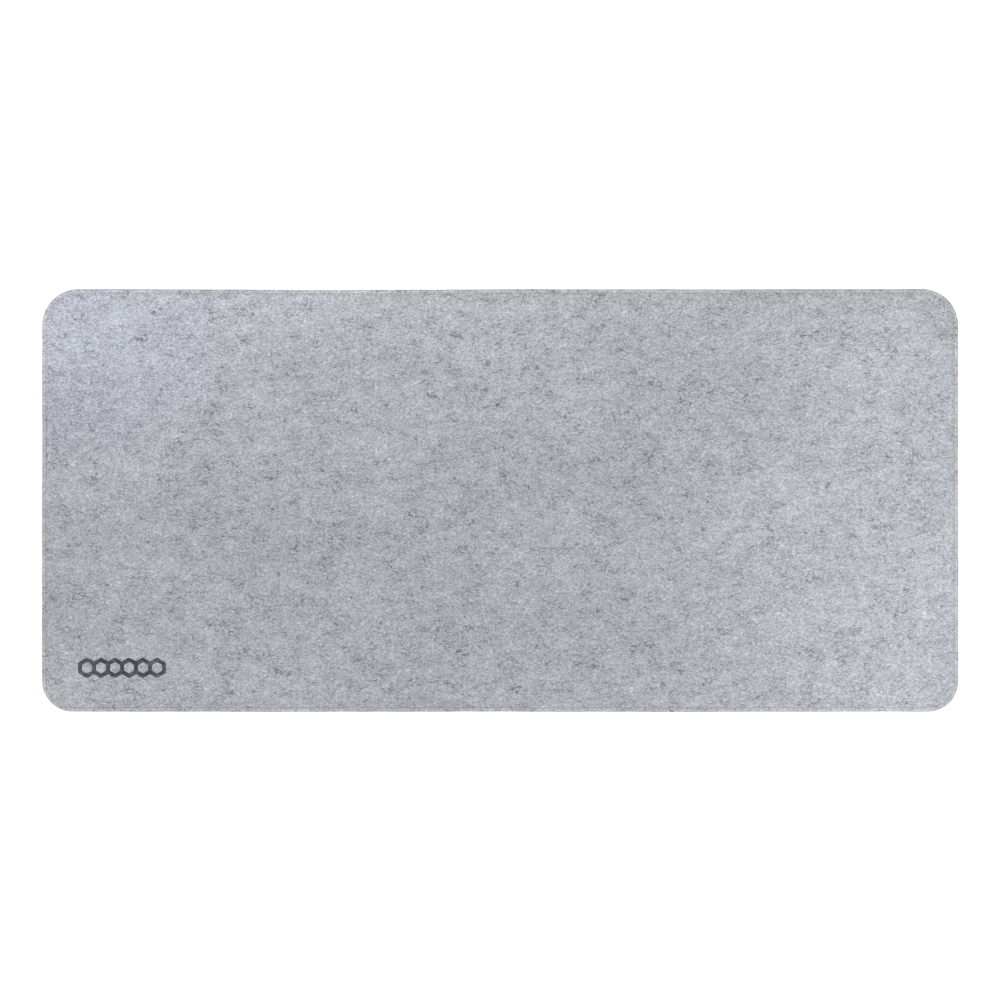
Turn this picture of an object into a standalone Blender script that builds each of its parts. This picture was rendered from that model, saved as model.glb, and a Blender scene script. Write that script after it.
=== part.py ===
"""Felt desk mat: a felt sheet bonded to a grip base and sewn to it round the rim.

Units are metres. +X runs along the width, +Y towards the rear edge and +Z up. The origin
is on the desk, under the middle of the mat. Run it with

    blender --background --python part.py
"""

import math

import bmesh
import bpy
from mathutils import Vector

# Outline, seen from above. The rear corners are rounder than the front ones.
WIDTH = 0.900
DEPTH = 0.415
REAR_CORNER_RADIUS = 0.0355
FRONT_CORNER_RADIUS = 0.0300
CORNER_SEGMENTS = 16

# Layers, from the desk up. CLEARANCE is left between any two pieces that lie together.
BASE_THICKNESS = 0.0012
BOND_THICKNESS = 0.0002
FELT_THICKNESS = 0.0020
CLEARANCE = 0.0003

# Edges of the layers.
FELT_EDGE_RADIUS = 0.0010
EDGE_CHAMFER = 0.0002
ARC_STEPS = 5

# Seam round the rim: a needle thread on the felt and a bobbin thread under the base.
SEAM_INSET = 0.00365
NEEDLE_THREAD_DIAMETER = 0.0006
BOBBIN_THREAD_DIAMETER = 0.00035
BOBBIN_RECESS = 0.0001
CHANNEL_FLANK = 0.0004
LIP_DROP = 0.0003
THREAD_BEVEL_RESOLUTION = 2

# Printed device near the front left corner: a strip of honeycomb cells drawn in one line.
CELL_COUNT = 6
CELL_HEIGHT = 0.0205
LINE_WIDTH = 0.0040
PRINT_THICKNESS = 0.0002
PRINT_FROM_LEFT = 0.0354
PRINT_FROM_FRONT = 0.0330

# Heights of the layers.
BASE_TOP = BASE_THICKNESS
BOND_LOW = BASE_TOP + CLEARANCE
BOND_TOP = BOND_LOW + BOND_THICKNESS
FELT_LOW = BOND_TOP + CLEARANCE
FELT_TOP = FELT_LOW + FELT_THICKNESS

# How far the cutter of the print's pocket stands out above the felt.
CUTTER_RISE = 0.001


def clear_scene():
    """Empties the scene that Blender starts with."""
    for thing in list(bpy.data.objects):
        bpy.data.objects.remove(thing)


def material(name, colour, roughness, metallic=0.0):
    """A Principled material in one colour."""
    made = bpy.data.materials.new(name)
    made.use_nodes = True
    shader = made.node_tree.nodes["Principled BSDF"]
    shader.inputs["Base Color"].default_value = (*colour, 1.0)
    shader.inputs["Roughness"].default_value = roughness
    shader.inputs["Metallic"].default_value = metallic
    return made


def add_object(name, data, finish):
    """Puts a mesh or a curve into the scene under its piece's name, in its finish."""
    data.materials.append(finish)
    piece = bpy.data.objects.new(name, data)
    bpy.context.scene.collection.objects.link(piece)
    return piece


def outline(inset, height):
    """The mat's outline drawn in by an inset, as points that run anticlockwise from above."""
    corners = (
        (1, 1, REAR_CORNER_RADIUS),
        (-1, 1, REAR_CORNER_RADIUS),
        (-1, -1, FRONT_CORNER_RADIUS),
        (1, -1, FRONT_CORNER_RADIUS),
    )
    points = []
    for quarter, (side_x, side_y, radius) in enumerate(corners):
        centre = Vector((side_x * (WIDTH / 2 - radius), side_y * (DEPTH / 2 - radius), height))
        for step in range(CORNER_SEGMENTS + 1):
            angle = (quarter + step / CORNER_SEGMENTS) * math.pi / 2
            outwards = Vector((math.cos(angle), math.sin(angle), 0))
            points.append(centre + (radius - inset) * outwards)
    return points


def layer(name, profile, finish):
    """A sheet whose edge follows a profile of (inset, height) pairs.

    The profile starts on the underside, goes out round the edge and ends on the top. A
    ring of the outline is laid at each pair, and the first and last rings are filled.
    """
    bm = bmesh.new()
    rings = [[bm.verts.new(point) for point in outline(*pair)] for pair in profile]
    for lower, upper in zip(rings, rings[1:]):
        for corner in range(len(lower)):
            here = corner - 1
            bm.faces.new((lower[here], lower[corner], upper[corner], upper[here]))
    bm.faces.new(reversed(rings[0]))
    bm.faces.new(rings[-1])
    mesh = bpy.data.meshes.new(name)
    bm.to_mesh(mesh)
    bm.free()
    mesh.shade_smooth()
    mesh.set_sharp_from_angle(angle=math.radians(25))
    return add_object(name, mesh, finish)


def arc(inset, height, radius, start, end):
    """(inset, height) pairs on an arc round a centre; at 0 degrees a pair lies furthest out."""
    pairs = []
    for step in range(ARC_STEPS + 1):
        angle = math.radians(start + (end - start) * step / ARC_STEPS)
        pairs.append((inset - radius * math.cos(angle), height + radius * math.sin(angle)))
    return pairs


def channel_half_width(thread_diameter):
    """Half the width of a thread channel's flat bottom."""
    return thread_diameter / 2 + CLEARANCE


def felt_profile():
    """The felt's edge, with a rounded lip outside the needle thread's channel."""
    lip_top = FELT_TOP - LIP_DROP
    floor = FELT_TOP - NEEDLE_THREAD_DIAMETER - CLEARANCE
    half_width = channel_half_width(NEEDLE_THREAD_DIAMETER)
    underside = [(EDGE_CHAMFER, FELT_LOW), (0, FELT_LOW + EDGE_CHAMFER)]
    lip = arc(FELT_EDGE_RADIUS, lip_top - FELT_EDGE_RADIUS, FELT_EDGE_RADIUS, 0, 90)
    channel = [
        (SEAM_INSET - half_width - CHANNEL_FLANK, lip_top),
        (SEAM_INSET - half_width, floor),
        (SEAM_INSET + half_width, floor),
        (SEAM_INSET + half_width + CHANNEL_FLANK, FELT_TOP),
    ]
    return underside + lip + channel


def base_profile():
    """The base's edge, with the bobbin thread's channel in its underside."""
    half_width = channel_half_width(BOBBIN_THREAD_DIAMETER)
    roof = BOBBIN_RECESS + BOBBIN_THREAD_DIAMETER + CLEARANCE
    return [
        (SEAM_INSET + half_width + CHANNEL_FLANK, 0),
        (SEAM_INSET + half_width, roof),
        (SEAM_INSET - half_width, roof),
        (SEAM_INSET - half_width - CHANNEL_FLANK, 0),
        (EDGE_CHAMFER, 0),
        (0, EDGE_CHAMFER),
        (0, BASE_TOP - EDGE_CHAMFER),
        (EDGE_CHAMFER, BASE_TOP),
    ]


def thread(name, diameter, height, finish):
    """A sewing thread that runs once round the seam, its middle at a height."""
    curve = bpy.data.curves.new(name, "CURVE")
    curve.dimensions = "3D"
    curve.bevel_depth = diameter / 2
    curve.bevel_resolution = THREAD_BEVEL_RESOLUTION
    route = outline(SEAM_INSET, height)
    spline = curve.splines.new("POLY")
    spline.points.add(len(route) - 1)
    for knot, point in zip(spline.points, route):
        knot.co = (*point, 1)
    spline.use_cyclic_u = True
    return add_object(name, curve, finish)


def honeycomb(growth):
    """Loops of the printed device, its line made wider by growth on each side.

    The first loop is the strip's outer outline, and each of the others is the hole of a
    cell. The cells stand on a point and share their upright sides.
    """
    slant = math.sqrt(3)
    outer = CELL_HEIGHT / 2
    middle = outer - LINE_WIDTH / slant
    pitch = slant * middle
    left = -WIDTH / 2 + PRINT_FROM_LEFT + slant / 2 * outer
    centre_y = -DEPTH / 2 + PRINT_FROM_FRONT + outer
    reach = outer + growth * 2 / slant
    hole = middle - (LINE_WIDTH / 2 + growth) * 2 / slant
    valley = reach - pitch / (2 * slant)
    right = left + (CELL_COUNT - 1) * pitch

    upper = []
    for cell in range(CELL_COUNT):
        upper.append((left + cell * pitch, reach))
        if cell < CELL_COUNT - 1:
            upper.append((left + (cell + 0.5) * pitch, valley))
    upper.insert(0, (left - slant / 2 * reach, reach / 2))
    upper.append((right + slant / 2 * reach, reach / 2))
    around = upper + [(x, -y) for x, y in reversed(upper)]

    loops = [[(x, centre_y + y) for x, y in around]]
    for cell in range(CELL_COUNT):
        turns = [math.radians(90 + 60 * side) for side in range(6)]
        centre_x = left + cell * pitch
        loops.append(
            [(centre_x + hole * math.cos(a), centre_y + hole * math.sin(a)) for a in turns]
        )
    return loops


def plate(name, loops, low, high, finish):
    """A flat plate between two heights, its outline and holes given as loops."""
    bm = bmesh.new()
    edges = []
    for loop in loops:
        ring = [bm.verts.new((x, y, low)) for x, y in loop]
        edges += [bm.edges.new((ring[i - 1], ring[i])) for i in range(len(ring))]
    bmesh.ops.triangle_fill(bm, edges=edges, use_beauty=True)
    extruded = bmesh.ops.extrude_face_region(bm, geom=bm.faces[:])
    raised = [item for item in extruded["geom"] if isinstance(item, bmesh.types.BMVert)]
    bmesh.ops.translate(bm, verts=raised, vec=(0, 0, high - low))
    bmesh.ops.recalc_face_normals(bm, faces=bm.faces[:])
    mesh = bpy.data.meshes.new(name)
    bm.to_mesh(mesh)
    bm.free()
    return add_object(name, mesh, finish)


def cut(piece, cutter):
    """Takes a cutter's shape out of a piece."""
    cutter.hide_render = True
    cutter.display_type = "WIRE"
    difference = piece.modifiers.new(cutter.name, "BOOLEAN")
    difference.operation = "DIFFERENCE"
    difference.solver = "EXACT"
    difference.object = cutter


def build():
    """Makes every piece of the mat, from the desk up."""
    clear_scene()
    felt = material("grey_felt", (0.43, 0.45, 0.48), 0.95)
    rubber = material("grip_rubber", (0.030, 0.031, 0.034), 0.80)
    film = material("bond_film", (0.72, 0.71, 0.66), 0.45)
    yarn = material("sewing_thread", (0.52, 0.53, 0.55), 0.60)
    ink = material("print_ink", (0.055, 0.065, 0.080), 0.70)

    layer("grip_base", base_profile(), rubber)
    layer("bond_film", [(0, BOND_LOW), (0, BOND_TOP)], film)
    felt_top = layer("felt_top", felt_profile(), felt)

    needle_height = FELT_TOP - NEEDLE_THREAD_DIAMETER / 2
    bobbin_height = BOBBIN_RECESS + BOBBIN_THREAD_DIAMETER / 2
    thread("needle_thread", NEEDLE_THREAD_DIAMETER, needle_height, yarn)
    thread("bobbin_thread", BOBBIN_THREAD_DIAMETER, bobbin_height, yarn)

    print_low = FELT_TOP - PRINT_THICKNESS
    plate("printed_device", honeycomb(0), print_low, FELT_TOP, ink)
    pocket_floor = print_low - CLEARANCE
    pocket = plate("print_pocket", honeycomb(CLEARANCE), pocket_floor, FELT_TOP + CUTTER_RISE, felt)
    cut(felt_top, pocket)


build()
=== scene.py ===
"""Looks of a felt desk mat, made round its CAD frame.

The mat is a heathered felt sheet bonded to a rubber base and sewn to it round the rim, with a
small printed device near one corner. Every shape here is worked out with numpy from a few sizes
and from the frame's own boxes. Units are metres: +X along the width, +Y to the rear, +Z up.
"""

from __future__ import annotations

import logging
import math
from collections.abc import Callable, Mapping
from dataclasses import dataclass, field
from enum import Enum
from typing import Any, Union

import bpy
import numpy as np
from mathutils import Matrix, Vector
from mathutils.geometry import tessellate_polygon


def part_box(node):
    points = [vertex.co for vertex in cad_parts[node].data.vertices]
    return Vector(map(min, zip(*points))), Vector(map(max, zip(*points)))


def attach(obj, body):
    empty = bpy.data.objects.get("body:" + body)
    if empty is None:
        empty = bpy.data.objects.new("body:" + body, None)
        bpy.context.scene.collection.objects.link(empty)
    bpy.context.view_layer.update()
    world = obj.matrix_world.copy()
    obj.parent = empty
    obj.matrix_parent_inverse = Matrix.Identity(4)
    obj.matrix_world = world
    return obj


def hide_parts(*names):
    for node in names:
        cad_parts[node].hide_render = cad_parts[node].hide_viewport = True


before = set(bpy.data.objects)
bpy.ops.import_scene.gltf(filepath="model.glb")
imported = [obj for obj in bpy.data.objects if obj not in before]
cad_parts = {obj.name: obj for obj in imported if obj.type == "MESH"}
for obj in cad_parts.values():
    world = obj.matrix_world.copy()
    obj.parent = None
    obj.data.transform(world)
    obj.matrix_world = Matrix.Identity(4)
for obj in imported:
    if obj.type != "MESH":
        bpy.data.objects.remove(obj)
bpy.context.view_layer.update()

LOG = logging.getLogger("desk_mat")
ROOT = "root"
BAKE_MAP = "OFBake"
PLY_MAP = "ply"
TONE = "tone"
QUARTER = math.pi / 2
TURN = 2 * math.pi
MM = 0.001
GAMMA = 2.2
SEED = 20417

Triple = tuple[float, float, float]
Pair = tuple[float, float]
EVEN: Triple = (1.0, 1.0, 1.0)
Places = Union[np.ndarray, Callable[[np.ndarray], np.ndarray], None]
Height = Callable[[np.ndarray, np.ndarray], np.ndarray]


class Part(str, Enum):
    """The CAD nodes that the frame holds."""

    FELT = "felt_top"
    FILM = "bond_film"
    BASE = "grip_base"
    NEEDLE = "needle_thread"
    BOBBIN = "bobbin_thread"
    DEVICE = "printed_device"


class Slot(str, Enum):
    """The record's material slots."""

    FELT = "felt"
    FILM = "bond_film"
    BASE = "grip_base"
    THREAD = "thread"
    PRINT = "print"


class Facing(Enum):
    """Which way one face of a sheet looks."""

    UP = 1
    DOWN = -1


# ---------------------------------------------------------------------------------------------
# Mesh work


def smooth_step(x: np.ndarray) -> np.ndarray:
    """0 below 0, 1 above 1, and 3x^2 - 2x^3 between them."""
    x = np.clip(x, 0, 1)
    return x * x * (3 - 2 * x)


def hill(x: np.ndarray, middle: float, spread: float) -> np.ndarray:
    """A bell curve of height 1: exp(-((x - middle) / spread)^2)."""
    return np.exp(-(((x - middle) / spread) ** 2))


def unit(vectors: np.ndarray) -> np.ndarray:
    """Each vector divided by its length."""
    return vectors / np.linalg.norm(vectors, axis=-1, keepdims=True)


def join(*parts: np.ndarray) -> np.ndarray:
    """Coordinates of any matching shapes, put together on a new last axis."""
    return np.stack(np.broadcast_arrays(*parts), axis=-1)


def raised(plan: np.ndarray, height: np.ndarray) -> np.ndarray:
    """Points with x and y from a plan, and z from heights that match its shape."""
    return join(plan[..., 0], plan[..., 1], height)


@dataclass
class MeshMaker:
    """Points and faces gathered patch by patch, then written as one mesh."""

    points: list[np.ndarray] = field(default_factory=list)
    tones: list[np.ndarray] = field(default_factory=list)
    faces: list[np.ndarray] = field(default_factory=list)
    places: list[np.ndarray] = field(default_factory=list)
    count: int = 0

    def add_points(self, points: np.ndarray, tone: Union[np.ndarray, float] = 0.0) -> np.ndarray:
        """Adds points of any grid shape.

        Args:
            points: an array whose last axis is x, y, z.
            tone: how much lighter than its finish each point is.

        Returns:
            The points' numbers, in the shape of the grid.
        """
        shape = points.shape[:-1]
        numbers = self.count + np.arange(math.prod(shape)).reshape(shape)
        self.points.append(points.reshape(-1, 3))
        self.tones.append(np.broadcast_to(tone, shape).ravel())
        self.count += numbers.size
        return numbers

    def add_faces(self, faces: np.ndarray, facing: Facing = Facing.UP, places: Places = None) -> None:
        """Adds faces.

        Args:
            faces: point numbers, whose last axis is a face's corners.
            facing: DOWN turns every face over.
            places: u and v of each corner, or a function of the corners' points that gives them.
        """
        faces = faces.reshape(-1, faces.shape[-1])
        if callable(places):
            places = places(np.concatenate(self.points)[faces])
        if places is None:
            places = np.zeros((*faces.shape, 2))
        places = places.reshape(*faces.shape, 2)
        turn = facing.value
        self.faces.append(faces[:, ::turn])
        self.places.append(places[:, ::turn].reshape(-1, 2))

    @staticmethod
    def cells(net: np.ndarray) -> np.ndarray:
        """Each cell's four corners, of a net whose last axes are rows, columns and values."""
        low, high = net[..., :-1, :, :], net[..., 1:, :, :]
        corners = (low[..., :-1, :], low[..., 1:, :], high[..., 1:, :], high[..., :-1, :])
        return np.stack(corners, axis=-2)

    def add_net(self, net: np.ndarray, facing: Facing = Facing.UP, places: Places = None) -> None:
        """Fills nets of point numbers with quads.

        Args:
            net: point numbers, whose last two axes are rows and columns.
            facing: DOWN turns every face over.
            places: u and v of each point of the net, or a function of points.
        """
        if isinstance(places, np.ndarray):
            places = self.cells(places)
        self.add_faces(self.cells(net[..., None])[..., 0], facing, places)

    def add_bands(self, rings: np.ndarray, places: Places = None) -> None:
        """Joins each closed ring to the next one with a band of quads.

        Args:
            rings: point numbers, whose last two axes are the rings and their points. A ring runs
                anticlockwise seen from where the later rings lie.
            places: u and v of each point, with one more column that closes the rings, or a
                function of points.
        """
        self.add_net(np.concatenate([rings, rings[..., :1]], axis=-1), places=places)

    def finish(self, name: str, mapped: str = "") -> bpy.types.Object:
        """Writes everything as one smooth mesh object.

        Args:
            name: the piece's name.
            mapped: the name of the UV map that holds the places, or nothing for no map.

        Returns:
            The object, in the scene.
        """
        sizes = np.concatenate([np.full(len(faces), faces.shape[1]) for faces in self.faces])
        corners = np.concatenate([faces.ravel() for faces in self.faces])
        mesh = bpy.data.meshes.new(name)
        mesh.vertices.add(self.count)
        mesh.vertices.foreach_set("co", np.concatenate(self.points).ravel())
        mesh.loops.add(len(corners))
        mesh.loops.foreach_set("vertex_index", corners.astype(np.int32))
        mesh.polygons.add(len(sizes))
        mesh.polygons.foreach_set("loop_start", (np.cumsum(sizes) - sizes).astype(np.int32))
        mesh.update(calc_edges=True)
        mesh.shade_smooth()
        tone = mesh.attributes.new(TONE, "FLOAT", "POINT")
        tone.data.foreach_set("value", np.concatenate(self.tones))
        if mapped:
            layer = mesh.uv_layers.new(name=mapped)
            layer.uv.foreach_set("vector", np.concatenate(self.places).ravel())
        made = bpy.data.objects.new(name, mesh)
        bpy.context.scene.collection.objects.link(made)
        return made


def zip_rings(outer: np.ndarray, inner: np.ndarray, inner_at: np.ndarray) -> np.ndarray:
    """Triangles between two closed rings with different numbers of points.

    Both rings run anticlockwise. The sides of both are sorted by where their middles lie along
    the ring, and each side's triangle ends at the point that the other ring has reached there.

    Args:
        outer: the outer ring's point numbers, evenly spaced along the ring.
        inner: the inner ring's point numbers.
        inner_at: where the inner points lie, from 0 to 1 along the outer ring, rising.

    Returns:
        The triangles' point numbers, facing up.
    """
    outer_at = np.arange(len(outer)) / len(outer)
    outer_middle = (outer_at + np.append(outer_at[1:], 1)) / 2
    inner_middle = (inner_at + np.append(inner_at[1:], 1 + inner_at[0])) / 2
    order = np.argsort(np.concatenate([outer_middle, inner_middle]), kind="stable")
    is_outer = order < len(outer)
    outer_passed = np.cumsum(is_outer) - is_outer
    inner_passed = np.cumsum(~is_outer) - ~is_outer
    here = outer[outer_passed % len(outer)]
    ahead = outer[(outer_passed + 1) % len(outer)]
    inner_here = inner[inner_passed % len(inner)]
    inner_ahead = inner[(inner_passed + 1) % len(inner)]
    on_outer = join(here, ahead, inner_here)
    on_inner = join(inner_here, here, inner_ahead)
    return np.where(is_outer[:, None], on_outer, on_inner)


def tube_points(route: np.ndarray, ahead: np.ndarray, radius: np.ndarray, sides: int) -> np.ndarray:
    """Rings of points round routes: route + radius * (cos(a) * side + sin(a) * lift).

    The side is the horizontal across the route, and the lift stands on both.

    Args:
        route: points along the middles, with x, y, z on the last axis.
        ahead: the unit direction at each point.
        radius: the radius at each point.
        sides: how many points a ring has.

    Returns:
        The points, with one more axis before the last one for the points of a ring.
    """
    side = unit(np.cross([0.0, 0.0, 1.0], ahead))
    lift = np.cross(ahead, side)
    angle = TURN * np.arange(sides) / sides
    around = np.cos(angle)[:, None] * side[..., None, :] + np.sin(angle)[:, None] * lift[..., None, :]
    return route[..., None, :] + radius[..., None, None] * around


def add_tubes(maker: MeshMaker, routes: np.ndarray, radii: np.ndarray, tone: np.ndarray) -> None:
    """Adds closed three-sided tubes, each with its own small square of the UV map.

    Args:
        maker: what the tubes are added to.
        routes: the routes' points, as tubes, points along, x y z.
        radii: the radius at each point.
        tone: each tube's tone.
    """
    sides = 3
    margin = 0.2
    points = tube_points(routes, unit(np.gradient(routes, axis=1)), radii, sides)
    rings = maker.add_points(points, tone[:, None, None])
    across = math.ceil(math.sqrt(len(routes)))
    row, column = np.divmod(np.arange(len(routes)), across)
    u = (column[:, None, None] + np.linspace(margin, 1 - margin, sides + 1)[None, None]) / across
    v = (row[:, None, None] + np.linspace(margin, 1 - margin, routes.shape[1])[None, :, None]) / across
    spots = join(u, v)
    maker.add_bands(rings, spots)
    cap = spots[:, :2, :2].reshape(-1, 4, 2)[:, :sides]
    maker.add_faces(rings[:, 0, ::-1], places=cap)
    maker.add_faces(rings[:, -1], places=cap)


def piece(made: bpy.types.Object, slot: Slot, finish: bpy.types.Material, *replaced: Part) -> None:
    """Gives a new piece its finish and body, and hides the CAD nodes that it stands for.

    Args:
        made: the piece.
        slot: not used.
        finish: its material.
        *replaced: the CAD nodes that it replaces.
    """
    made.data.materials.append(finish)
    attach(made, ROOT)
    if replaced:
        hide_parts(*[part.value for part in replaced])
    mesh = made.data
    mesh.calc_loop_triangles()
    LOG.info("%s: %d triangles, in %s", made.name, len(mesh.loop_triangles), finish.name)


# ---------------------------------------------------------------------------------------------
# The mat's plan and layers


def low_and_size(part: Part) -> tuple[float, float]:
    """How high a CAD node starts, and how tall it is."""
    low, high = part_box(part.value)
    return low[2], high[2] - low[2]


@dataclass(frozen=True)
class Outline:
    """The mat's rounded rectangle, followed along its seam line.

    A place on it is a length in metres along the seam, anticlockwise from the front end of the
    right side. Insets are measured inwards from the rim. The bow is a shallow hollow in the rear
    edge; its place and spread are shares of the seam.
    """

    width: float
    depth: float
    rear_radius: float
    front_radius: float
    seam_inset: float
    stitch_length: float = 4.7 * MM
    wander: float = 0.13 * MM
    bow_depth: float = 0.62 * MM
    bow_share: float = 0.381
    bow_spread: float = 0.048
    wander_from: float = 6 * MM
    wander_over: float = 12 * MM

    @classmethod
    def from_frame(cls) -> Outline:
        """The outline that the frame's film and needle thread show."""
        low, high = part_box(Part.FILM.value)
        _, seam_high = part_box(Part.NEEDLE.value)
        _, thread = low_and_size(Part.NEEDLE)
        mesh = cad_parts[Part.FILM.value].data
        points = np.empty(len(mesh.vertices) * 3)
        mesh.vertices.foreach_get("co", points)
        points = points.reshape(-1, 3)
        right = points[points[:, 0] > high[0] - 0.01 * MM, 1]
        return cls(
            width=high[0] - low[0],
            depth=high[1] - low[1],
            rear_radius=high[1] - right.max(),
            front_radius=right.min() - low[1],
            seam_inset=high[0] - seam_high[0] + thread / 2,
        )

    @property
    def radii(self) -> np.ndarray:
        """The seam's corner radii: rear right, rear left, front left, front right."""
        rear, front = self.rear_radius, self.front_radius
        return np.array([rear, rear, front, front]) - self.seam_inset

    @property
    def centres(self) -> np.ndarray:
        """The centres of the four corners' arcs, in the same order."""
        reach = self.radii + self.seam_inset
        side_x = np.array([1, -1, -1, 1])
        side_y = np.array([1, 1, -1, -1])
        return join(side_x * (self.width / 2 - reach), side_y * (self.depth / 2 - reach))

    @property
    def straights(self) -> np.ndarray:
        """The straight stretch before each corner."""
        gaps = self.centres - np.roll(self.centres, 1, axis=0)
        return np.abs(gaps).max(axis=1)

    @property
    def starts(self) -> np.ndarray:
        """Where each straight starts, and at the end the seam's whole length."""
        return np.concatenate([[0], np.cumsum(self.straights + self.radii * QUARTER)])

    @property
    def length(self) -> float:
        """The seam's length."""
        return float(self.starts[-1])

    @property
    def stitches(self) -> int:
        """How many stitches go round."""
        return round(self.length / self.stitch_length)

    @property
    def pitch(self) -> float:
        """The length of one stitch, so that a whole number of them goes round."""
        return self.length / self.stitches

    @property
    def area(self) -> float:
        """The area inside the rim."""
        lost = (1 - math.pi / 4) * 2 * (self.rear_radius**2 + self.front_radius**2)
        return float(self.width * self.depth - lost)

    def stitch_places(self, phases: np.ndarray) -> tuple[np.ndarray, np.ndarray]:
        """Places along the whole seam at the same phases of every stitch.

        Args:
            phases: shares of a stitch, 0 at the needle's hole.

        Returns:
            The places and their phases, both in one row.
        """
        places = (np.arange(self.stitches)[:, None] + phases) * self.pitch
        return places.ravel(), np.tile(phases, self.stitches)

    def past_hole(self, phase: np.ndarray) -> np.ndarray:
        """How far along the seam a phase of a stitch lies from the nearest needle hole."""
        return np.minimum(phase, 1 - phase) * self.pitch

    def along(self, place: np.ndarray) -> tuple[np.ndarray, np.ndarray]:
        """Seam points, each on a straight or on the quarter circle after it.

        Args:
            place: lengths along the seam.

        Returns:
            The points and the outward normals.
        """
        side = np.clip(np.searchsorted(self.starts, place, side="right") - 1, 0, 3)
        past = place - self.starts[side] - self.straights[side]
        radius = self.radii[side]
        angle = side * QUARTER + np.maximum(past, 0) / radius
        normal = join(np.cos(angle), np.sin(angle))
        ahead = join(-np.sin(side * QUARTER), np.cos(side * QUARTER))
        behind = np.minimum(past, 0)[:, None] * ahead
        return self.centres[side] + radius[:, None] * normal + behind, normal

    def slack(self, place: np.ndarray) -> np.ndarray:
        """How far the cut strays outwards: three slow waves, and one shallow bow at the rear."""
        share = place / self.length
        waves = np.sin(TURN * 7 * share + 0.4) + 0.7 * np.sin(TURN * 19 * share + 2.1)
        ripple = 0.45 * np.sin(TURN * 61 * share + 4.0)
        bow = self.bow_depth * hill(share, self.bow_share, self.bow_spread)
        return self.wander * (waves + ripple) - bow

    def ring(self, place: np.ndarray, inset: Union[np.ndarray, float]) -> np.ndarray:
        """Points at an inset from the rim: seam point + normal * (seam inset - inset + slack).

        The slack fades out towards the middle of the mat.
        """
        points, normal = self.along(place)
        kept = 1 - smooth_step((np.asarray(inset) - self.wander_from) / self.wander_over)
        reach = self.seam_inset - inset + kept * self.slack(place)
        return points + reach[..., None] * normal


@dataclass(frozen=True)
class Layers:
    """Where one layer meets the next; the CAD's clearances are shared out between them."""

    base_top: float
    film_low: float
    film_top: float
    felt_low: float
    felt_top: float

    @classmethod
    def from_frame(cls) -> Layers:
        """The heights that the frame's boxes give, with hairline gaps."""
        base_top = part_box(Part.BASE.value)[1][2]
        film_low, film_top = (corner[2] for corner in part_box(Part.FILM.value))
        felt_low, felt_top = (corner[2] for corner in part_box(Part.FELT.value))
        hairline = 0.02 * MM
        lower = film_low - 2 * hairline
        upper = (film_top + felt_low) / 2 - 4 * hairline
        tops = (base_top / MM, film_top / MM, felt_top / MM)
        LOG.info("base %.2f mm, film %.2f mm, felt %.2f mm", *tops)
        return cls(lower, lower + hairline, upper - hairline, upper, felt_top)


@dataclass
class Sheet:
    """What the mat's layers share: a net that fills the middle, inside the rings round the rim."""

    outline: Outline
    layers: Layers
    net_inset: float = 22 * MM

    def middle(
        self,
        maker: MeshMaker,
        ring: np.ndarray,
        cell: float,
        height: Union[Height, float],
        facing: Facing,
        places: Places = None,
        tone: Union[Height, None] = None,
    ) -> None:
        """Fills the inside of a ring with a net of square cells, zipped to the ring.

        Args:
            maker: what the faces are added to.
            ring: the ring's point numbers.
            cell: the size of the net's cells.
            height: z, or a function of x and y that gives it.
            facing: which way the faces look.
            places: u and v as a function of points.
            tone: how much lighter the net's points are, as a function of x and y.
        """
        half = np.array([self.outline.width, self.outline.depth]) / 2 - self.net_inset
        counts = np.round(2 * half / cell).astype(int)
        x, y = np.meshgrid(*(np.linspace(-far, far, count + 1) for far, count in zip(half, counts)))
        z = height(x, y) if callable(height) else height
        net = maker.add_points(join(x, y, z), tone(x, y) if tone else 0.0)
        maker.add_net(net, facing, places)
        rim = np.concatenate([net[0, :-1], net[:-1, -1], net[-1, :0:-1], net[:0:-1, 0]])
        points = np.concatenate(maker.points)[:, :2]
        apart = ((points[rim, None] - points[None, ring]) ** 2).sum(axis=-1)
        rim_at = apart.argmin(axis=1) / len(ring)
        first = rim_at.argmin()
        rim_at = np.maximum.accumulate(np.roll(rim_at, -first))
        maker.add_faces(zip_rings(ring, np.roll(rim, -first), rim_at), facing, places)


# ---------------------------------------------------------------------------------------------
# Finishes


def operator(operation: str, turned: bool = False) -> Callable[[Value, Operand], Value]:
    """A Python operator of Value that adds a Math node; a turned one has self on the right."""

    def apply(self: Value, other: Operand) -> Value:
        """The output of the Math node."""
        return self.math(operation, other, self) if turned else self.math(operation, self, other)

    return apply


@dataclass(frozen=True)
class Value:
    """A number socket that takes part in Python expressions; each operator adds a Math node."""

    canvas: Canvas
    socket: bpy.types.NodeSocket

    def math(self, operation: str, *operands: Operand) -> Value:
        """A Math node on some operands."""
        made = self.canvas.node("ShaderNodeMath", {"operation": operation}, dict(enumerate(operands)))
        return Value(self.canvas, made.outputs[0])

    __add__ = operator("ADD")
    __radd__ = operator("ADD", turned=True)
    __sub__ = operator("SUBTRACT")
    __rsub__ = operator("SUBTRACT", turned=True)
    __mul__ = operator("MULTIPLY")
    __rmul__ = operator("MULTIPLY", turned=True)
    __pow__ = operator("POWER")

    def __abs__(self) -> Value:
        """The size of self without its sign."""
        return self.math("ABSOLUTE", self)

    def sine(self) -> Value:
        """The sine of self."""
        return self.math("SINE", self)

    def clamped(self, low: float, high: float) -> Value:
        """self, kept between two numbers."""
        return self.math("MINIMUM", self.math("MAXIMUM", self, low), high)


Operand = Union[Value, float]


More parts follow.
